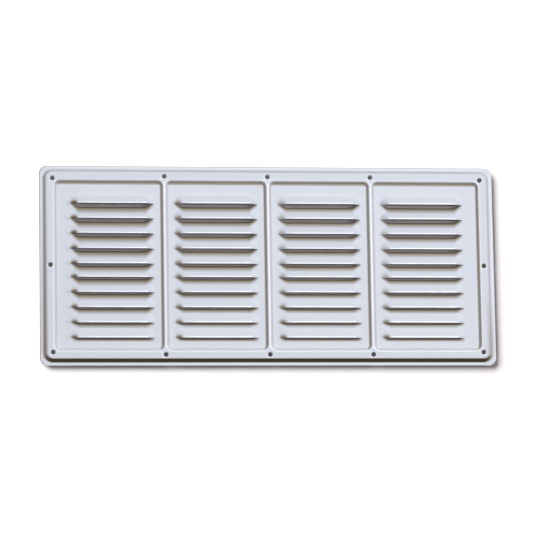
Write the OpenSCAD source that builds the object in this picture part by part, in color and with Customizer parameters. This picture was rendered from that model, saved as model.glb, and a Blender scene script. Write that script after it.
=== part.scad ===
// Refrigerator vent grille: one pressed, white-coated sheet that is screwed over a wall opening.
// The back of the lip lies on the wall plane, the louvres stand out to the front (-Y) and
// their slits face down. The origin is the middle of the plate on the wall plane.

/* [Plate] */
// Overall width of the plate
plate_w = 410; // [402:1:440]
// Overall height of the plate
plate_h = 180; // [174:1:210]
// Thickness of the sheet
sheet_t = 1; // [0.7:0.05:1.2]
// Radius of the four corners of the outline
corner_r = 7; // [5:0.5:9]
// Smallest inside radius of the pressed bends
bend_r = 0.6; // [0.4:0.05:0.7]

/* [Lip and border] */
// Width of the flat lip that lies on the wall
lip_w = 3; // [2.6:0.1:5]
// Height of the border above the lip
step_h = 3; // [2.8:0.1:4]
// Width over which the sheet climbs from the lip to the border
step_run = 3.4; // [2.8:0.1:4]
// Corner radius at the foot of that climb
step_r = 8.6; // [7:0.1:9.5]
// Width of the flat border between the climb and the panels
border_w = 6.2; // [5.8:0.1:8]

/* [Panels] */
// Number of sunk panels side by side
panel_count = 4; // [2:1:4]
// Distance between the middles of neighbouring ribs
rib_pitch = 93.2; // [91:0.1:94]
// Width of the flat top of a rib
rib_w = 1.4; // [1:0.1:3]
// Depth of the panels below the border
panel_drop = 2.6; // [2.4:0.05:2.75]
// Width over which the sheet falls from the border to a panel
panel_run = 3; // [2.8:0.1:3.6]
// Corner radius of a panel at the level of the border
panel_r = 5.6; // [5:0.1:8]

/* [Louvres] */
// Number of rows pressed in one stroke of the tool
rows_in_set = 5; // [2:1:5]
// Number of strokes one below the other
set_count = 2; // [1:1:2]
// Distance from row to row within one stroke
row_pitch = 13.6; // [12.4:0.1:14]
// Distance between the last row of a stroke and the first row of the next
set_pitch = 12.2; // [12:0.1:16]
// Distance of the middle of all rows below the middle of the plate
rows_drop = 4.8; // [3:0.1:6]
// Length of a louvre from tip to tip
louvre_l = 76.5; // [60:0.5:80]
// Width of a hood from its foot to its lip
hood_run = 8.4; // [7.4:0.1:9]
// Height of the hoods above the panel in the top row
hood_h = 5.2; // [4:0.1:5.8]
// Height of the hoods in the bottom row, which the rows between lead down to evenly
last_hood_h = 3; // [2.6:0.1:5.8]
// Radius of the hollow bend at the foot of a hood
foot_r = 1.5; // [1:0.1:2]
// Radius of the round crown at the lip of a hood
crown_r = 3; // [2.4:0.1:3.6]
// Width of the open slit between a hood's lip and the panel below it, in the top row
slit_w = 2.8; // [1:0.1:3]
// Width of the slits in the bottom row
last_slit_w = 0.6; // [0.4:0.1:3]

/* [Screw holes] */
// Diameter of the screw holes
hole_d = 4.2; // [3.6:0.1:4.8]
// Width of the chamfer round the front of each hole
hole_rim = 0.4; // [0.2:0.05:0.6]

/* [Hidden] */
// Straight facets in each bend of a cross-section
bend_steps = 3;
// Facets of a full circle
$fn = 96;
// How far a cutter stands clear of the surface that it cuts
clear = 1;
sheet_colour = [0.87, 0.88, 0.91];
// Heights of the back of the sheet above the wall plane
border_back = step_h;
panel_back = step_h - panel_drop;
// Insets from the edge of the plate
border_edge = lip_w + step_run;
border_mid = border_edge + border_w / 2;
panel_edge = border_edge + border_w;
// The corner holes share their centres with the rounds of the step
corner_inset = lip_w + step_r;
// Edges of the row of panels and of the ribs between them
panels_half = plate_w / 2 - panel_edge;
panel_h = plate_h - 2 * panel_edge;
rib_x = [for (i = [1:panel_count - 1]) (i - panel_count / 2) * rib_pitch];
panel_left = concat([-panels_half], [for (x = rib_x) x + rib_w / 2]);
panel_right = concat([for (x = rib_x) x - rib_w / 2], [panels_half]);
// Middles of the louvre columns and heights of the lips, from the top row down
column_x = [for (i = [0:panel_count - 1]) (i - (panel_count - 1) / 2) * rib_pitch];
row_count = rows_in_set * set_count;
row_fall = [for (i = [0:row_count - 1]) i * row_pitch + floor(i / rows_in_set) * (set_pitch - row_pitch)];
first_row = row_fall[row_count - 1] / 2 - rows_drop;
row_y = [for (fall = row_fall) first_row - fall];
// Heights of the hoods and widths of the slits, from the top row down
row_hood = [for (i = [0:row_count - 1]) hood_h + (last_hood_h - hood_h) * i / (row_count - 1)];
row_slit = [for (i = [0:row_count - 1]) slit_w + (last_slit_w - slit_w) * i / (row_count - 1)];
straight_l = louvre_l - 2 * hood_run;
hole_x = plate_w / 2 - corner_inset;
hole_y = plate_h / 2 - corner_inset;
side_x = plate_w / 2 - border_mid;
side_y = plate_h / 2 - border_mid;
hole_places = concat(
    [for (x = [-hole_x, hole_x], y = [-hole_y, hole_y]) [x, y]],
    [for (x = rib_x, y = [-side_y, side_y]) [x, y]],
    [for (x = [-side_x, side_x]) [x, 0]]);

// Points of a smooth climb from [0, 0] to [run, rise]: an arc of radius low, the straight line
// that touches both arcs, and an arc of radius high. Both ends are level.
function climb(run, rise, low, high) =
    let (slope = atan2(rise - low - high, run) + asin((low + high) / norm([run, rise - low - high])))
    concat(
        [for (i = [0:bend_steps]) let (a = slope * i / bend_steps) [low * sin(a), low * (1 - cos(a))]],
        [for (i = [bend_steps:-1:0]) let (a = slope * i / bend_steps)
            [run - high * sin(a), rise - high * (1 - cos(a))]]);

// The same climb on the front of the sheet, and on its back one thickness lower
function front_climb(run, rise, low, high) =
    [for (p = climb(run, rise, low, high + sheet_t)) [p[0], p[1] + sheet_t]];
function back_climb(run, rise, low, high) = climb(run, rise, low + sheet_t, high);

// A block with rounded corners whose edge follows edge_points, each an inset and a height
// from the bottom up. r is the corner radius at inset 0, and the bottom is at foot.
module edged_block(w, h, r, foot, edge_points) {
    top = edge_points[len(edge_points) - 1][1];
    first = edge_points[0][0];
    module section(half) {
        polygon(concat(
            [[first - half, foot]],
            [for (p = edge_points) [p[0] - half, p[1]]],
            [for (i = [len(edge_points) - 1:-1:0]) [half - edge_points[i][0], edge_points[i][1]]],
            [[half - first, foot]]));
    }
    rotate([90, 0, 90])
        linear_extrude(w - 2 * r, center = true)
            section(h / 2);
    rotate([90, 0, 0])
        linear_extrude(h - 2 * r, center = true)
            section(w / 2);
    for (corner = [[1, 1, 0], [-1, 1, 90], [-1, -1, 180], [1, -1, 270]])
        translate([corner[0] * (w / 2 - r), corner[1] * (h / 2 - r), 0])
            rotate([0, 0, corner[2]])
                rotate_extrude(angle = 90)
                    polygon(concat(
                        [[0, foot], [r - first, foot]],
                        [for (p = edge_points) [r - p[0], p[1]]],
                        [[0, top]]));
}

// What fills the raised border, to its front or to its back
module border_block(foot, edge_points) {
    edged_block(plate_w - 2 * lip_w, plate_h - 2 * lip_w, step_r, foot, edge_points);
}

// What each panel takes out of the border. The points climb outwards from the panel's floor.
module panel_pockets(floor_points) {
    top = border_back + sheet_t + clear;
    edge_points = concat([for (p = floor_points) [panel_run - p[0], p[1]]], [[0, top]]);
    for (i = [0:panel_count - 1])
        translate([(panel_left[i] + panel_right[i]) / 2, 0, 0])
            edged_block(panel_right[i] - panel_left[i], panel_h, panel_r, floor_points[0][1], edge_points);
}

// What fills a hood, with its lip on the X axis and its foot at +Y. The ends are quarter turns
// of the same section, so the slit closes to a point at each tip.
module hood_fill(foot, points) {
    outline = concat([[0, foot], [hood_run, foot]], [for (p = points) [hood_run - p[0], p[1]]]);
    rotate([90, 0, 90])
        linear_extrude(straight_l, center = true)
            polygon(outline);
    for (side = [0, 1])
        mirror([side, 0, 0])
            translate([straight_l / 2, 0, 0])
                rotate_extrude(angle = 90)
                    polygon(outline);
}

// The slit below a lip, narrowing to the tips of the louvre
module slit(width) {
    translate([0, 0, -clear])
        linear_extrude(panel_back + sheet_t + 2 * clear)
            polygon([
                [-louvre_l / 2, 0],
                [-straight_l / 2, -width],
                [straight_l / 2, -width],
                [louvre_l / 2, 0]]);
}

// Copies of a louvre's shape along one row, one in every column
module along_row(row) {
    for (x = column_x)
        translate([x, row_y[row], 0])
            children();
}

// A screw hole with a chamfer at the front of the border
module screw_hole() {
    front = border_back + sheet_t;
    translate([0, 0, -clear])
        cylinder(h = front + 2 * clear, d = hole_d);
    translate([0, 0, front - hole_rim])
        cylinder(h = 2 * hole_rim, d1 = hole_d, d2 = hole_d + 4 * hole_rim);
}

// Everything behind the front surface of the sheet
module front_fill() {
    linear_extrude(sheet_t)
        outline();
    difference() {
        border_block(0, lift(front_climb(step_run, step_h, bend_r, bend_r), 0));
        panel_pockets(lift(front_climb(panel_run, panel_drop, bend_r, bend_r), panel_back));
    }
    for (row = [0:row_count - 1])
        along_row(row)
            hood_fill(
                panel_back + sheet_t / 2,
                lift(front_climb(hood_run, row_hood[row], foot_r, crown_r - sheet_t), panel_back));
}

// Everything behind the back surface of the sheet
module back_fill() {
    difference() {
        border_block(-clear, back_climb(step_run, step_h, bend_r, bend_r));
        panel_pockets(lift(back_climb(panel_run, panel_drop, bend_r, bend_r), panel_back));
    }
    for (row = [0:row_count - 1])
        along_row(row)
            hood_fill(
                -clear,
                lift(back_climb(hood_run, row_hood[row], foot_r, crown_r - sheet_t), panel_back));
}

function lift(points, height) = [for (p = points) [p[0], p[1] + height]];

// The rounded outline of the plate
module outline() {
    square([plate_w - 2 * corner_r, plate_h], center = true);
    square([plate_w, plate_h - 2 * corner_r], center = true);
    for (x = [-1, 1], y = [-1, 1])
        translate([x * (plate_w / 2 - corner_r), y * (plate_h / 2 - corner_r)])
            circle(corner_r);
}

// The whole pressed sheet, stood upright with its front to -Y
module grille() {
    color(sheet_colour)
        rotate([90, 0, 0])
            difference() {
                front_fill();
                back_fill();
                for (row = [0:row_count - 1])
                    along_row(row)
                        slit(row_slit[row]);
                for (place = hole_places)
                    translate(place)
                        screw_hole();
            }
}

grille();
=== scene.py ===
# %% [markdown]
# # A pressed vent grille for a refrigerator
# The real grille is one thin sheet of metal. A press gives it a raised border, sunk panels with
# ribs between them and rows of louvres, and a white powder coat covers it all. This lesson
# builds that sheet as one surface worked out with numpy, gives it its coat with painted shade
# and painted highlights in the coat's colour, and lights it. The imported model comes first,
# because every size and place has to agree with it.

# %% Load the imported model
import math
import bpy
import numpy as np
from mathutils import Matrix, Vector


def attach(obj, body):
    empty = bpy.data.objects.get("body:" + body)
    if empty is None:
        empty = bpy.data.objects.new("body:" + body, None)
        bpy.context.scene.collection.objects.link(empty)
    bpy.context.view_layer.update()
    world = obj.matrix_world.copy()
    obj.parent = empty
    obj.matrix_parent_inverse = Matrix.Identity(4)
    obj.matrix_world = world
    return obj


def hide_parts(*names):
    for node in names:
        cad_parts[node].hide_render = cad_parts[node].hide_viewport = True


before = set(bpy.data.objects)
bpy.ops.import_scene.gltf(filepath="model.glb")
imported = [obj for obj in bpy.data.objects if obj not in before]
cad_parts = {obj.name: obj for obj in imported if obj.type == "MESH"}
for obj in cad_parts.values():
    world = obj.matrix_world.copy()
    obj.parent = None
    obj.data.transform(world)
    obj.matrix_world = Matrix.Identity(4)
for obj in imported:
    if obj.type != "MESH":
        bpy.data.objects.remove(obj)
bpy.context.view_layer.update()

print("nodes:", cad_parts)

# %% [markdown]
# ## The sizes of the pressing
# The imported sheet has the right form, but its bends have few facets and its edges are sharp,
# which a satin coat shows. Bevels and subdivision on such a mesh would pinch at the slits. So
# the sheet is built again from the sizes of the part's source, in millimetres. Heights are
# measured from the wall that the lip lies on.

# %% Sizes of the plate, the lip and the border
MM = 0.001
plate_w = 410
plate_h = 180
sheet_t = 1
corner_r = 7
bend_r = 0.6
lip_w = 3
step_h = 3
step_run = 3.4
step_r = 8.6
border_w = 6.2
border_back = step_h
border_front = step_h + sheet_t
print("front of the border above the wall:", border_front)

# %% Sizes of the panels and their ribs
rib_pitch = 93.2
rib_w = 1.4
panel_drop = 2.6
panel_run = 3
panel_r = 5.6
panel_back = step_h - panel_drop
panel_edge = lip_w + step_run + border_w
panels_half = plate_w / 2 - panel_edge
panel_h = plate_h - 2 * panel_edge
rib_x = rib_pitch * np.array([-1, 0, 1])
panel_left = np.append(-panels_half, rib_x + rib_w / 2)
panel_right = np.append(rib_x - rib_w / 2, panels_half)
panel_mid = (panel_left + panel_right) / 2
panel_half = (panel_right - panel_left) / 2
print("panels from x to x:", np.round(np.stack([panel_left, panel_right], axis=1), 2).tolist())

# %% Sizes of the louvres
rows = 10
rows_in_set = 5
row_pitch = 13.6
set_pitch = 12.2
rows_drop = 4.8
louvre_l = 76.5
hood_run = 8.4
hood_h = 5.2
last_hood_h = 3
foot_r = 1.5
crown_r = 3
slit_w = 2.8
last_slit_w = 0.6
straight_l = louvre_l - 2 * hood_run
column_x = rib_pitch * np.array([-1.5, -0.5, 0.5, 1.5])
row_number = np.arange(rows)
row_fall = row_number * row_pitch + (row_number // rows_in_set) * (set_pitch - row_pitch)
row_z = row_fall[-1] / 2 - rows_drop - row_fall
row_hood = np.linspace(hood_h, last_hood_h, rows)
row_slit = np.linspace(slit_w, last_slit_w, rows)
print("lips at heights:", np.round(row_z, 2).tolist())

# %% Sizes of the screw holes
hole_r = 2.1
corner_inset = lip_w + step_r
side_inset = lip_w + step_run + border_w / 2
hole_x = plate_w / 2 - corner_inset
hole_z = plate_h / 2 - corner_inset
side_x = plate_w / 2 - side_inset
side_z = plate_h / 2 - side_inset
hole_places = [(x, z) for x in (-hole_x, hole_x) for z in (-hole_z, hole_z)]
hole_places += [(x, z) for x in rib_x for z in (-side_z, side_z)]
hole_places += [(-side_x, 0), (side_x, 0)]
print("screw holes:", len(hole_places))

# %% [markdown]
# ## The heights of the pressed sheet
# A press tool bends the sheet over round edges. So each wall in section is an arc, the straight
# line that touches it, and an arc the other way. The height of the sheet over each point of the
# wall can be worked out from its distance to the edge of the step, the panel or the hood, and
# one function serves for all three. The back is the same curve one thickness lower, with the
# radii of its bends exchanged.

# %% The climb up a pressed wall
def climb(across, run, rise, low, high):
    """Height of a smooth climb at a distance across it.

    An arc of radius low leaves the level, a straight line touches it and the second arc, and
    the arc of radius high ends level. The line's slope is the slope between the two centres
    plus the angle whose sine is the sum of the radii over the distance of the centres.
    """
    spare = rise - low - high
    slope = np.arctan2(spare, run) + np.arcsin((low + high) / np.hypot(run, spare))
    foot_end = low * np.sin(slope)
    crown_start = run - high * np.sin(slope)
    s = np.clip(across, 0, run)
    foot = low - np.sqrt(np.maximum(low ** 2 - s ** 2, 0))
    crown = rise - high + np.sqrt(np.maximum(high ** 2 - (run - s) ** 2, 0))
    line = low * (1 - np.cos(slope)) + (s - foot_end) * np.tan(slope)
    return np.where(s < foot_end, foot, np.where(s > crown_start, crown, line))


halfway = climb(step_run / 2, step_run, step_h, bend_r + sheet_t, bend_r)
print("back of the sheet halfway up the step:", round(float(halfway), 2))

# %% Distances inwards from the step and from a panel's edge
def inward(x, z, half_w, half_h, r):
    """Distance inwards from the edge of a rectangle with corners of radius r, negative outside."""
    past_x = np.abs(x) - (half_w - r)
    past_z = np.abs(z) - (half_h - r)
    outside = np.hypot(np.maximum(past_x, 0), np.maximum(past_z, 0))
    inside = np.minimum(np.maximum(past_x, past_z), 0)
    return r - outside - inside


def panel_at(x):
    """Number of the panel at x, counted from the left."""
    return np.searchsorted(rib_x, x)


def into_step(x, z):
    """Distance inwards from the foot of the step that climbs from the lip."""
    return inward(x, z, plate_w / 2 - lip_w, plate_h / 2 - lip_w, step_r)


def into_panel(x, z):
    """Distance inwards from the edge of the nearest panel's opening."""
    panel = panel_at(x)
    return inward(x - panel_mid[panel], z, panel_half[panel], panel_h / 2, panel_r)


print("from the middle of the plate to the foot of the step:", float(into_step(0, 0)))

# %% Heights of the front and the back
def sheet_heights(x, z, hood_row):
    """Heights of the front and the back of the sheet above the wall.

    The step climbs from the lip to the border, each panel falls from the border, and a hood
    climbs by the distance from its foot, which runs round the hood's ends as a quarter circle.
    hood_row is the row whose hood a point may lie on, or -1 where there is none.
    """
    step = into_step(x, z)
    pocket = into_panel(x, z)
    past_end = np.maximum(np.abs(x - column_x[panel_at(x)]) - straight_l / 2, 0)
    from_foot = hood_run - np.hypot(past_end, z - row_z[hood_row])
    from_foot = np.where(hood_row >= 0, from_foot, 0)
    rise = row_hood[hood_row]
    heights = []
    for thick, low_extra, high_extra in ((sheet_t, 0, sheet_t), (0, sheet_t, 0)):
        low = bend_r + low_extra
        high = bend_r + high_extra
        border = climb(step, step_run, step_h, low, high)
        panel_level = panel_back + climb(panel_run - pocket, panel_run, panel_drop, low, high)
        crown = crown_r - sheet_t + high_extra
        hood = panel_back + climb(from_foot, hood_run, rise, foot_r + low_extra, crown)
        level = np.minimum(border, panel_level)
        heights.append(thick + np.where(from_foot > 0, np.maximum(level, hood), level))
    return heights


for row in (0, rows - 1):
    lip_front, lip_back = sheet_heights(column_x[0], row_z[row], row)
    print("row", row, "lip above the wall:", round(float(lip_back), 2), "to", round(float(lip_front), 2))

# %% [markdown]
# ## The grid of the sheet
# The sheet is a grid of lines across and up, close together in the bends and far apart on the
# flats. Each louvre's slit is a row of cells left open between two lines that part at the
# tips of the louvre: the upper one is the lip of the hood and the lower one the cut edge of
# the panel. A solid boolean would cut the same slits, but leaves long thin triangles that
# shade badly, while the grid keeps even faces in every bend.

# %% Lines across the plate
# Shares of a wall's run, of a hood's run, then distances along the border, a floor and a louvre
bend_lines = np.array([0, 0.07, 0.14, 0.38, 0.63, 0.75, 0.87, 1])
fall_lines = 1 - bend_lines[::-1]
ramp_lines = np.array([0, 0.05, 0.1, 0.2, 0.35, 0.5, 0.65, 0.78, 0.88, 1])
border_lines = np.array([0.5, 1, 1.5, 2.1, 3.1, 4.1, 5.2])
floor_lines = np.array([0.4, 0.8, 1.6, 2.6])
louvre_lines = np.array([0, 10, 20])
ring_inset = 2.3
outer_floor = 183.5
least_gap = 0.12


def lines_apart(lines):
    """Sorted lines without those that lie closer than least_gap to the line before them."""
    lines = np.sort(lines)
    return lines[np.append(True, np.diff(lines) > least_gap)]


from_edge = np.concatenate([
    [ring_inset],
    lip_w + step_run * bend_lines,
    lip_w + step_run + border_lines,
    panel_edge + panel_run * fall_lines,
    panel_edge + panel_run + floor_lines])
from_rib = rib_w / 2 + np.append(panel_run * fall_lines, panel_run + floor_lines)
from_column = np.append(straight_l / 2 + hood_run * (1 - ramp_lines), louvre_lines)
line_x = lines_apart(np.concatenate(
    [plate_w / 2 - from_edge, from_edge - plate_w / 2]
    + [x + side * from_rib for x in rib_x for side in (-1, 1)]
    + [x + side * from_column for x in column_x for side in (-1, 1)]
    + [[-outer_floor, outer_floor]]))
print("lines across:", len(line_x))

# %% Lines up the plate, from the top down
lip_edge = 0.25


def table_lines(heights, hood, slit, above):
    """Rows of the table of lines, one for each height.

    hood is the row of the hood that the lines lie on, slit the width by which they part from
    the lip above them, and above the row of louvres above them. -1 stands for no row.
    """
    return np.stack(np.broadcast_arrays(heights, hood, slit, above), axis=1)


top_lines = plate_h / 2 - from_edge
above_first = (top_lines[-1] + row_z[0] + hood_run) / 2
hood_lines = hood_run * (1 - np.append(ramp_lines[:-1], 1 - lip_edge / hood_run))
line_table = [table_lines(np.append(top_lines, above_first), -1, 0, -1)]
for row in row_number:
    below = row_z[row + 1] + hood_run if row + 1 < rows else -top_lines[-1]
    halfway_down = (row_z[row] - row_slit[row] + below) / 2
    line_table += [
        table_lines(np.append(row_z[row] + hood_lines, row_z[row]), row, 0, row - 1),
        table_lines([row_z[row]], -1, row_slit[row], row),
        table_lines([halfway_down], -1, 0, row)]
line_table.append(table_lines(-top_lines[::-1], -1, 0, rows - 1))
line_z, line_hood, line_slit, line_above = np.concatenate(line_table).T
print("lines up:", len(line_z))

# %% Points of the grid
# The cut edge of each lip is rounded down by edge_drop, which grows over fade_share of a tip.
edge_drop = 0.04
fade_share = 0.25


def slit_share(x):
    """Share of the slit's width that is open at x: all along the straight part, none at the tips."""
    past = np.abs(x - column_x[panel_at(x)])
    return np.interp(past, [straight_l / 2, louvre_l / 2], [1, 0])


line_share = slit_share(line_x)
grid_x, grid_z = np.meshgrid(line_x, line_z)
grid_z = grid_z - line_slit[:, None] * line_share
grid_hood = np.broadcast_to(line_hood.astype(int)[:, None], grid_x.shape)
grid_front, grid_back = sheet_heights(grid_x, grid_z, grid_hood)
lip_line = np.append(line_slit[1:] > 0, False)
grid_front[lip_line] -= edge_drop * np.minimum(line_share / fade_share, 1)
grid_index = np.arange(grid_x.size).reshape(grid_x.shape)
slit_line = np.flatnonzero(line_slit)
grid_index[slit_line] = np.where(line_share > 0, grid_index[slit_line], grid_index[slit_line - 1])
open_cell = np.zeros((len(line_z) - 1, len(line_x) - 1), bool)
open_cell[slit_line - 1] = True
print("points of the grid:", grid_x.size)

# %% [markdown]
# ## Painted shade and painted highlights
# A brown painted shade lies below each slit, thickest at the cut edge, and a thin grey painted
# shade reaches a little further. Walls that face down or to the left get painted shade, all
# walls a little, and so do the left ends of the hoods, the cut edges of the lips and the left
# and top edges of the plate. Steep slopes get a grey painted shade. The lips, crests and rims
# get a thick glossy coat and a painted highlight. All this could be painted by hand, but a
# painted mark doesn't follow when a size changes. Here it is worked out from the distances and
# slopes that make the shape. Three numbers from 0 to 1 at each point hold it: the painted
# shade, the thick coat with its highlight, and the grey, which is painted shade on the front
# and the bare undercoat on the back.

# %% Smooth steps, bands and slopes
probe = 0.3


def smooth(value, low, high):
    """Smooth step from 0 at low to 1 at high."""
    share = np.clip((value - low) / (high - low), 0, 1)
    return share * share * (3 - 2 * share)


def band(value, start, end, fade_in=0.8, fade_out=0.8):
    """1 between start and end, falling smoothly to 0 within the fades on either side."""
    return smooth(value, start - fade_in, start) * (1 - smooth(value, end, end + fade_out))


def slopes(height_at):
    """Slopes to the right and upwards of a function of x and z, at the points of the grid."""
    to_right = height_at(grid_x + probe, grid_z) - height_at(grid_x - probe, grid_z)
    to_top = height_at(grid_x, grid_z + probe) - height_at(grid_x, grid_z - probe)
    return to_right / (2 * probe), to_top / (2 * probe)


grid_panel = panel_at(grid_x)
on_hood = grid_hood >= 0
into_grid_step = into_step(grid_x, grid_z)
into_grid_panel = into_panel(grid_x, grid_z)
step_right, step_up = slopes(into_step)
pocket_right, pocket_up = slopes(into_panel)
print("points on hoods:", int(on_hood.sum()))

# %% Painted shade below the slits
# The veil of painted shade is 1 at the cut edge, 0 where its reach ends and negative beyond:
# brown painted shade on its inner part and grey painted shade reaching a little past it. It
# reaches furthest under the first panel and least under the last row, and it shrinks towards
# the tips.
first_reach = 5.2
last_reach = 1.4
tip_reach = 0.2
panel_reach = np.array([1.25, 1, 0.95, 1])
shade_starts, shade_full = 0.176, 0.976
grey_shade_starts, grey_shade_full = -0.15, 0.25
grey_shade_level = 0.45
full_share = 0.75
above = line_above.astype(int)[:, None]
grid_share = slit_share(grid_x)
below_slit = np.where(above >= 0, row_z[above] - row_slit[above] * grid_share - grid_z, np.inf)
row_reach = first_reach + (last_reach - first_reach) * (above / (rows - 1)) ** 5
veil_reach = panel_reach[grid_panel] * row_reach * (tip_reach + (1 - tip_reach) * grid_share)
veil = 1 - below_slit / veil_reach
under_slit = smooth(grid_share, 0, full_share)
slit_shade = under_slit * np.interp(veil, [shade_starts, shade_full], [0, 1])
slit_grey_shade = grey_shade_level * under_slit * smooth(veil, grey_shade_starts, grey_shade_full)
print("points under the veil:", int((slit_shade > 0).sum()))

# %% Painted shade on the walls of the step and of the panels
# The step's wall faces down along the bottom of the plate, where the way in from its foot is
# up. A panel's wall faces down along the top of the panel. Distances are from a wall's foot on
# the step, and from the opening's edge on a panel's walls.
# Walls that face down get the most painted shade, and walls that face left less, on the step more
# towards the bottom. The step's right wall gets some in its lower part, and all walls a little.
all_round = 0.1
step_facing_down, step_facing_left, step_facing_right = 0.95, 0.35, 0.28
panel_facing_down, panel_facing_left = 0.43, 0.4
wall_end = step_run - 0.8
lowness = 0.5 - grid_z / plate_h
lower_part = smooth(lowness, 0.5, 0.95)
down_band = band(into_grid_step, 0.2, wall_end)
left_band = band(into_grid_step, -0.4, wall_end, fade_out=2.6)
right_band = band(into_grid_step, -0.4, wall_end, fade_in=1.2, fade_out=3.8)
step_shade = np.maximum.reduce([
    all_round * band(into_grid_step, 0, wall_end),
    step_facing_down * np.maximum(step_up, 0) * down_band,
    step_facing_left * np.maximum(step_right, 0) * left_band * lowness,
    step_facing_right * np.maximum(-step_right, 0) * right_band * lower_part])
pocket_down_band = band(into_grid_panel, 1.6, panel_run + 0.8)
pocket_left_band = band(into_grid_panel, 0.8, panel_run - 0.6)
panel_shade = np.maximum.reduce([
    all_round * band(into_grid_panel, 0.8, panel_run),
    panel_facing_down * np.maximum(-pocket_up, 0) * pocket_down_band,
    panel_facing_left * np.maximum(-pocket_right, 0) * pocket_left_band])
print("shadiest wall:", round(float(max(step_shade.max(), panel_shade.max())), 2))

# %% Painted shade behind the left ends of the hoods
# One soft spot of painted shade on the left end of each hood, strong in the first panel and
# weaker to the right. From row to row the spots of all panels come closer to the level of the
# last row.
spot_past_end = 4.6
spot_r = 4.2
spot_stretch = 1.2
panel_spot = np.array([1, 0.6, 0.25, 0.1])
last_spot = 0.8
spot_x = column_x[grid_panel] - straight_l / 2 - spot_past_end
from_spot = np.hypot((grid_x - spot_x) / spot_stretch, grid_z - row_z[grid_hood])
spot_level = panel_spot[grid_panel]
spot_level = spot_level + (last_spot - spot_level) * (grid_hood / (rows - 1)) ** 2
spot_shade = np.where(on_hood, spot_level * (1 - smooth(from_spot, 0, spot_r)), 0)
print("points in the spots:", int((spot_shade > 0).sum()))

# %% Painted highlight on the edges and painted shade on the slopes
# The lips and the crests round the panels get a thick glossy coat and a painted highlight, and
# no painted shade goes on them. The highlight is full up to lip_from from a lip's edge and back
# to normal at lip_to. Steep slopes get a grey painted shade, a little more on the hoods and much
# more on the step's walls that face up.
lip_from, lip_to = 0.8, 2.2
crest_highlight_level = 0.6
hood_slope_shade = 0.12
other_slope_shade = 0.08
grey_facing_up = 0.35
past_straight = np.maximum(np.abs(grid_x - column_x[grid_panel]) - straight_l / 2, 0)
from_lip = np.where(on_hood, np.hypot(past_straight, grid_z - row_z[grid_hood]), np.inf)
crest_highlight = crest_highlight_level * band(into_grid_panel, -0.4, 0.1, fade_in=0.6, fade_out=0.5)
grid_edge = np.maximum(1 - smooth(from_lip, lip_from, lip_to), crest_highlight)
rise_right, rise_up = slopes(lambda x, z: sheet_heights(x, z, grid_hood)[0])
steepness = 1 - 1 / (1 + rise_right ** 2 + rise_up ** 2)
off_hood_slope_shade = other_slope_shade + grey_facing_up * np.maximum(-step_up, 0) * band(into_grid_step, 0, step_run)
slope_shade = np.where(on_hood, hood_slope_shade, off_hood_slope_shade) * steepness
grid_grey_shade = (1 - grid_edge) * np.maximum(slope_shade, slit_grey_shade)
grid_shade = (1 - grid_edge) * np.maximum.reduce([slit_shade, step_shade, panel_shade, spot_shade])
print("most_shaded point:", round(float(grid_shade.max()), 2))

# %% [markdown]
# ## Screw holes and the outline
# The holes are punched before the coat goes on, so their edges are softly rounded. Each hole
# takes a block of cells out of the grid, and rings of points lead from the edge of the block
# to the round edge. The outline works the same way the other round: rings lead from the
# straight edge of the grid out to the rounded corners. A bevel would do the same on a few sharp
# edges, but the rings also carry the thick coat and painted highlight of each rim and the line
# of painted shade along the lip.

# %% Rings of points
grid_parts = (grid_x, grid_z, grid_front, grid_back, grid_shade, grid_edge, grid_grey_shade)
points = [np.stack([part.ravel() for part in grid_parts], axis=1)]
faces = []


def block_edge(top, bottom, left, right):
    """Indices round a block of the grid: down the left, along the bottom, up the right and back."""
    loop = np.concatenate([
        grid_index[top:bottom, left],
        grid_index[bottom, left:right],
        grid_index[bottom:top:-1, right],
        grid_index[top, right:left:-1]])
    return loop[loop != np.roll(loop, 1)]


def add_ring(x, z, front, back, painted_shade, edge):
    """Add a ring of points with the given heights, painted shade and thick coat with its painted
    highlight, and return their indices.
    """
    start = sum(len(block) for block in points)
    points.append(np.stack(np.broadcast_arrays(x, z, front, back, painted_shade, edge, 0), axis=1))
    return start + np.arange(len(x))


def join_rings(outer, inner):
    """Faces between two rings that run the same way round."""
    faces.append(np.stack([outer, np.roll(outer, -1), np.roll(inner, -1), inner], axis=1))


print("numbers at each point:", len(grid_parts))

# %% Rings round the holes
# Each ring has a radius, a drop below the border and a share of thick coat with painted highlight.
block_r = 2.75
hole_rings = [(2.7, 0, 0.5), (2.45, 0.07, 1), (2.2, 0.25, 1), (hole_r, 0.5, 0.5)]
for place_x, place_z in hole_places:
    left = np.searchsorted(line_x, place_x - block_r, side="right") - 1
    right = np.searchsorted(line_x, place_x + block_r)
    top = np.flatnonzero(line_z >= place_z + block_r)[-1]
    bottom = np.flatnonzero(line_z <= place_z - block_r)[0]
    open_cell[top:bottom, left:right] = True
    loop = block_edge(top, bottom, left, right)
    angle = np.arctan2(grid_z.ravel()[loop] - place_z, grid_x.ravel()[loop] - place_x)
    for radius, drop, edge in hole_rings:
        ring_x = place_x + radius * np.cos(angle)
        ring_z = place_z + radius * np.sin(angle)
        ring = add_ring(ring_x, ring_z, border_front - drop, border_back, 0, edge)
        join_rings(loop, ring)
        loop = ring
print("rings round the holes:", len(points) - 1)

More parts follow.
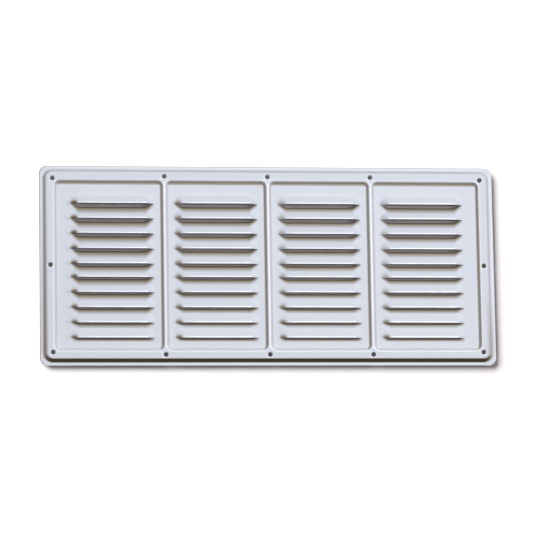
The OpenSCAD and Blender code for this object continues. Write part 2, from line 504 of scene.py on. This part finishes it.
# %% Rings out to the edge of the plate
# Each ring has an inset from the edge, a drop and a share of a line of painted shade, which is
# strongest along the left edge, weaker along the top and missing along the other two. The ring
# furthest in gets a share of thick coat with painted highlight instead.
outline_rings = [(0.75, 0, 0), (0.65, 0, 1), (0, edge_drop, 1)]
left_edge_shade = 0.5
top_edge_shade = 0.3
rim_highlight = 0.4
loop = block_edge(0, len(line_z) - 1, 0, len(line_x) - 1)
loop_x = grid_x.ravel()[loop]
loop_z = grid_z.ravel()[loop]
centre_x = np.clip(loop_x, corner_r - plate_w / 2, plate_w / 2 - corner_r)
centre_z = np.clip(loop_z, corner_r - plate_h / 2, plate_h / 2 - corner_r)
reach = np.hypot(loop_x - centre_x, loop_z - centre_z)
way_left = np.maximum(centre_x - loop_x, 0) / reach
way_up = np.maximum(loop_z - centre_z, 0) / reach
for inset, drop, edge_shade_share in outline_rings:
    ring_x = centre_x + (loop_x - centre_x) * (corner_r - inset) / reach
    ring_z = centre_z + (loop_z - centre_z) * (corner_r - inset) / reach
    ring_shade = edge_shade_share * (left_edge_shade * way_left + top_edge_shade * way_up)
    ring = add_ring(ring_x, ring_z, sheet_t - drop, 0, ring_shade, rim_highlight * (1 - edge_shade_share))
    join_rings(ring, loop)
    loop = ring
print("points along the edge:", len(loop))

# %% Faces of the front, the back and the cut edges
corners = np.stack([
    grid_index[:-1, :-1], grid_index[1:, :-1], grid_index[1:, 1:], grid_index[:-1, 1:]], axis=-1)
faces.append(corners[~open_cell])
used, front_faces = np.unique(np.concatenate(faces), return_inverse=True)
front_faces = front_faces.reshape(-1, 4)
sheet = np.concatenate(points)[used]
sheet_x, sheet_z, sheet_front, sheet_back, sheet_shade, sheet_edge, sheet_grey_shade = sheet.T
count = len(sheet)
edges = np.stack([front_faces, np.roll(front_faces, -1, axis=1)], axis=-1).reshape(-1, 2)
edge_key = edges.min(axis=1) * count + edges.max(axis=1)
first, times = np.unique(edge_key, return_index=True, return_counts=True)[1:]
cut = edges[first[times == 1]]
cut_faces = np.stack([cut[:, 1], cut[:, 0], cut[:, 0] + count, cut[:, 1] + count], axis=1)
all_faces = np.concatenate([front_faces, front_faces[:, ::-1] + count, cut_faces])
front_points = np.stack([sheet_x, -sheet_front, sheet_z], axis=1)
back_points = np.stack([sheet_x, -sheet_back, sheet_z], axis=1)
vertices = np.concatenate([front_points, back_points])
print("edges used by more than two faces:", int((times > 2).sum()))

# %% Put the sheet into a mesh
# The back carries a bare grey undercoat. Painted shade on the back of each lip and rim darkens its cut
# edge.
sharp_angle = 40
thick_from = 0.9


def make_mesh(name, vertices, faces):
    """A mesh object at the origin from points in millimetres, smooth apart from its cut edges."""
    mesh = bpy.data.meshes.new(name)
    mesh.from_pydata((vertices * MM).tolist(), [], faces.tolist())
    mesh.shade_smooth()
    mesh.set_sharp_from_angle(angle=math.radians(sharp_angle))
    thing = bpy.data.objects.new(name, mesh)
    bpy.context.scene.collection.objects.link(thing)
    return thing


def add_attribute(thing, name, values):
    """Store one number for each point of a mesh."""
    made = thing.data.attributes.new(name, "FLOAT", "POINT")
    made.data.foreach_set("value", values)


sheet_piece = make_mesh("pressed_sheet", vertices, all_faces)
# The three numbers are the painted shade, the thick coat with its painted highlight, and the grey:
# painted shade on the front and bare undercoat on the back.
add_attribute(sheet_piece, "painted_shade", np.append(sheet_shade, np.where(sheet_edge > thick_from, 1, 0)))
add_attribute(sheet_piece, "thick_coat_and_highlight", np.append(sheet_edge, np.zeros(count)))
add_attribute(sheet_piece, "undercoat_and_shade", np.append(sheet_grey_shade, np.ones(count)))
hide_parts("grille")
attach(sheet_piece, "root")
a, b, c, d = (vertices[all_faces[:, k]] for k in range(4))
volume = np.einsum("ij,ij->i", a, np.cross(b, c) + np.cross(c, d)).sum() / 6
print("faces:", len(all_faces), "volume in cubic millimetres:", round(float(volume)))

# %% [markdown]
# ## The powder coat
# Powder coat melts into a smooth satin skin with a fine ripple, which makers call orange peel.
# It is a soft plastic over metal, so it isn't metallic. A Principled shader with a middle
# roughness does most of the work, and noise on object coordinates adds the ripple as a bump.
# The thick edges get a clear glossy coat on top and a painted highlight in their colour, which
# together give the lips their bright line. The grey and the painted shade are colours mixed
# over the white, so one material serves the whole sheet and no seam shows between them.

# %% Arithmetic on sockets
class Wire:
    """An output socket of a node. Arithmetic on it adds Math nodes."""

    def __init__(self, socket):
        self.socket = socket

    @staticmethod
    def node(tree, kind, settings, values):
        """Add a node: its type, its settings, then a value or a link for each socket."""
        made = tree.nodes.new(kind)
        for name, value in settings.items():
            setattr(made, name, value)
        for key, value in values.items():
            if isinstance(value, Wire):
                tree.links.new(value.socket, made.inputs[key])
            else:
                made.inputs[key].default_value = value
        return made

    def maths(self, operation, left, right):
        """Add a Math node between two values, each a number or a Wire."""
        tree = self.socket.id_data
        made = Wire.node(tree, "ShaderNodeMath", {"operation": operation}, {0: left, 1: right})
        return Wire(made.outputs[0])

    def __add__(self, other):
        return self.maths("ADD", self, other)

    def __sub__(self, other):
        return self.maths("SUBTRACT", self, other)

    def __rsub__(self, other):
        return self.maths("SUBTRACT", other, self)

    def __mul__(self, other):
        return self.maths("MULTIPLY", self, other)

    __radd__ = __add__
    __rmul__ = __mul__


def new_material(name):
    """An empty node material and its tree."""
    material = bpy.data.materials.new(name)
    material.use_nodes = True
    material.node_tree.nodes.clear()
    return material, material.node_tree


# %% Ripple and clouds of the coat
coat, tree = new_material("white_powder_coat")
place = Wire(Wire.node(tree, "ShaderNodeTexCoord", {}, {}).outputs["Object"])


def noise(scale, detail):
    """Noise on object coordinates, from 0 to 1, with scale in waves to the metre."""
    values = {"Vector": place, "Scale": scale, "Detail": detail, "Roughness": 0.5}
    return Wire(Wire.node(tree, "ShaderNodeTexNoise", {}, values).outputs["Fac"])


fine_share = 0.7
peel = fine_share * noise(700, 2) + (1 - fine_share) * noise(260, 1)
cloud = noise(9, 3)
print("nodes for the ripple and the clouds:", len(tree.nodes))

# %% Colours from the white down to the darkest painted shade
# After the two whites of the clean coat come a painted highlight, the grey of the undercoat that also
# serves as painted shade, a brown painted shade and the darkest painted shade.
white_low, white_high = (0.86, 0.865, 0.885), (0.88, 0.885, 0.905)
highlight_white = (0.95, 0.955, 0.97)
undercoat_and_shade_grey = (0.4, 0.4, 0.42)
shade_brown = (0.4, 0.33, 0.235)
deep_shade_brown = (0.045, 0.032, 0.01)


def attribute(name):
    """A number stored at the points of the mesh."""
    return Wire(Wire.node(tree, "ShaderNodeAttribute", {"attribute_name": name}, {}).outputs["Fac"])


def blend(factor, first, second):
    """A colour between two colours, each three numbers or a Wire."""
    made = Wire.node(tree, "ShaderNodeMix", {"data_type": "RGBA"}, {"Factor": factor})
    for name, value in (("A", first), ("B", second)):
        socket = [s for s in made.inputs if s.name == name and s.type == "RGBA"][0]
        if isinstance(value, Wire):
            tree.links.new(value.socket, socket)
        else:
            socket.default_value = (*value, 1)
    return Wire([s for s in made.outputs if s.type == "RGBA"][0])


# The painted highlight, the grey and the two browns of painted shade are mixed over the white in turn.
painted_shade = attribute("painted_shade")
clean = blend(cloud, white_low, white_high)
highlighted = blend(attribute("thick_coat_and_highlight"), clean, highlight_white)
grey_shaded = blend(attribute("undercoat_and_shade"), highlighted, undercoat_and_shade_grey)
shaded = blend(2 * painted_shade, grey_shaded, shade_brown)
shade = blend(2 * painted_shade - 1, shaded, deep_shade_brown)
print("nodes with the colours:", len(tree.nodes))

# %% The satin skin
satin = 0.42
cloud_dulls = 0.1
# The roughness rises where shade is painted.
shade_dulls = 0.3
bump = Wire.node(
    tree, "ShaderNodeBump", {}, {"Strength": 0.25, "Distance": 0.0001, "Height": peel})
skin = Wire.node(tree, "ShaderNodeBsdfPrincipled", {}, {
    "Base Color": shade,
    "Roughness": satin + cloud_dulls * cloud + shade_dulls * painted_shade,
    "IOR": 1.5,
    "Specular IOR Level": 0.3,
    "Coat Weight": attribute("thick_coat_and_highlight"),
    "Coat Roughness": 0.16,
    "Normal": Wire(bump.outputs["Normal"])})
Wire.node(tree, "ShaderNodeOutputMaterial", {}, {"Surface": Wire(skin.outputs["BSDF"])})
sheet_piece.data.materials.append(coat)
print("nodes of the whole coat:", len(tree.nodes))

# %% [markdown]
# ## The stage
# The grille hangs a few millimetres in front of a wall, and its shadow shows there to the right
# of the plate and below it. One bent backdrop would serve too, but two planes can have a paint
# each: a darker one on the wall, whose lamps are strong, and a pale one on the floor. They are
# one-sided, so they don't hide the grille from behind, and they show only to the camera, so
# they throw no light back on it.

# %% Floor and wall
wall_gap = 5
far = 2500
floor_z = -750
glow_colour = (1, 0.85, 0.92, 1)


def stage_material(name, colour, glow):
    """A matt surface that adds a little glow of its own and is clear from behind."""
    material, tree = new_material(name)
    matt = Wire.node(tree, "ShaderNodeBsdfDiffuse", {}, {"Color": (*colour, 1)})
    light = Wire.node(tree, "ShaderNodeEmission", {}, {"Color": glow_colour, "Strength": glow})
    both = Wire.node(
        tree, "ShaderNodeAddShader", {}, {0: Wire(matt.outputs[0]), 1: Wire(light.outputs[0])})
    clear = Wire.node(tree, "ShaderNodeBsdfTransparent", {}, {})
    side = Wire.node(tree, "ShaderNodeNewGeometry", {}, {})
    pick = Wire.node(tree, "ShaderNodeMixShader", {}, {
        0: Wire(side.outputs["Backfacing"]), 1: Wire(both.outputs[0]), 2: Wire(clear.outputs[0])})
    Wire.node(tree, "ShaderNodeOutputMaterial", {}, {"Surface": Wire(pick.outputs[0])})
    return material


def stage_plane(name, corners, material):
    """A flat four-cornered surface that only the camera sees."""
    thing = make_mesh(name, np.array(corners), np.array([[0, 1, 2, 3]]))
    thing.data.materials.append(material)
    thing.visible_diffuse = False
    thing.visible_glossy = False
    thing.visible_transmission = False
    thing.visible_shadow = False
    return thing


wall = stage_plane(
    "wall",
    [(-far, wall_gap, floor_z), (far, wall_gap, floor_z), (far, wall_gap, far), (-far, wall_gap, far)],
    stage_material("wall_paint", (0.3, 0.3, 0.3), 0.04))
floor = stage_plane(
    "floor",
    [(-far, -far, floor_z), (far, -far, floor_z), (far, far, floor_z), (-far, far, floor_z)],
    stage_material("floor_paint", (0.8, 0.8, 0.8), 0.4))
print("stage:", wall.name, "and", floor.name)

# %% [markdown]
# ## The light
# One lamp could light both the grille and the wall, but the level that suits the coat would
# leave the wall grey, so light linking gives each its own lamps. A large soft box far in front,
# above and to the right lights the grille, and walls that face left and down stay darker. A
# weak lamp behind lights its back. A strong lamp from the upper left lights the wall and throws
# the narrow soft shadow of the plate. A thin, weak one from the right, nearly level with the
# plate, reaches under it and lights the wall behind the slits.

# %% Lamps
def soft_box(name, centre, width, height, power, colour, lit):
    """A rectangular lamp that points to the middle of the plate and lights only the objects in lit."""
    lamp = bpy.data.lights.new(name, "AREA")
    lamp.shape = "RECTANGLE"
    lamp.size = width
    lamp.size_y = height
    lamp.energy = power
    lamp.color = colour
    thing = bpy.data.objects.new(name, lamp)
    thing.location = centre
    thing.rotation_euler = Vector(centre).to_track_quat("Z", "Y").to_euler()
    bpy.context.scene.collection.objects.link(thing)
    group = bpy.data.collections.new(name + "_lights")
    for other in lit:
        group.objects.link(other)
    thing.light_linking.receiver_collection = group
    print(name, "of", power, "watts lights", [other.name for other in lit])


# Centres and sizes are in metres, and powers in watts.
soft_box("key_box", (1.25, -4.4, 1.75), 2.4, 2.8, 218, (0.87, 0.91, 1), [sheet_piece])
soft_box("back_box", (-0.6, 1.6, 0.8), 1.6, 1.6, 18, (1, 1, 1), [sheet_piece])
soft_box("wall_box", (-1.9, -2.2, 1.55), 2.6, 2.8, 690, (1, 1, 1), [wall, floor])
soft_box("wall_side", (2.3, -2.4, -0.1), 1.6, 0.35, 66, (1, 0.87, 0.93), [wall, floor])

# %% [markdown]
# ## The world
# The background is plain white. A white world would also flood the coat with light and hide its
# bends, so it shows white only to the camera and to rays that leave glossy or clear surfaces,
# and every other ray meets a dim warm room, which keeps the shadows from going black.

# %% White to see, dim to light with
world = bpy.data.worlds.new("room")
bpy.context.scene.world = world
world.use_nodes = True
room = world.node_tree
room.nodes.clear()
rays = Wire.node(room, "ShaderNodeLightPath", {}, {}).outputs
shown = Wire(rays["Is Camera Ray"]) + Wire(rays["Is Glossy Ray"]) + Wire(rays["Is Transmission Ray"])
dim = Wire.node(room, "ShaderNodeBackground", {}, {"Color": (1, 0.9, 0.75, 1), "Strength": 0.05})
white = Wire.node(room, "ShaderNodeBackground", {}, {"Color": (1, 1, 1, 1), "Strength": 1})
seen = Wire.node(
    room, "ShaderNodeMixShader", {}, {0: shown, 1: Wire(dim.outputs[0]), 2: Wire(white.outputs[0])})
Wire.node(room, "ShaderNodeOutputWorld", {}, {"Surface": Wire(seen.outputs[0])})
print("nodes of the world:", len(room.nodes))

# %% [markdown]
# ## The camera
# The picture was taken from far off with a long lens, a little from the left and from below,
# and with a slight tilt. A Track To constraint can't give that tilt, so the camera's own axes
# are worked out from three angles, and each angle can then be corrected by itself.

# %% Camera
turn = math.radians(-7)
lift = math.radians(-9)
tilt = math.radians(-0.93)
target = Vector((-0.00164, 0, -0.00046))
distance = 3
frame_px = 533
focal_px = 3346.8
backward = Vector((math.sin(turn) * math.cos(lift), -math.cos(turn) * math.cos(lift), math.sin(lift)))
level = Vector((math.cos(turn), math.sin(turn), 0))
upward = backward.cross(level)
right_axis = level * math.cos(tilt) + upward * math.sin(tilt)
up_axis = upward * math.cos(tilt) - level * math.sin(tilt)
lens = bpy.data.cameras.new("photo_camera")
lens.sensor_width = 36
lens.lens = focal_px / frame_px * lens.sensor_width
lens.clip_end = 50
camera = bpy.data.objects.new("photo_camera", lens)
place_camera = Matrix((right_axis, up_axis, backward)).transposed().to_4x4()
place_camera.translation = target + backward * distance
camera.matrix_world = place_camera
bpy.context.scene.collection.objects.link(camera)
bpy.context.scene.camera = camera
bpy.context.scene.view_settings.view_transform = "Standard"
print("lens in millimetres:", round(lens.lens))
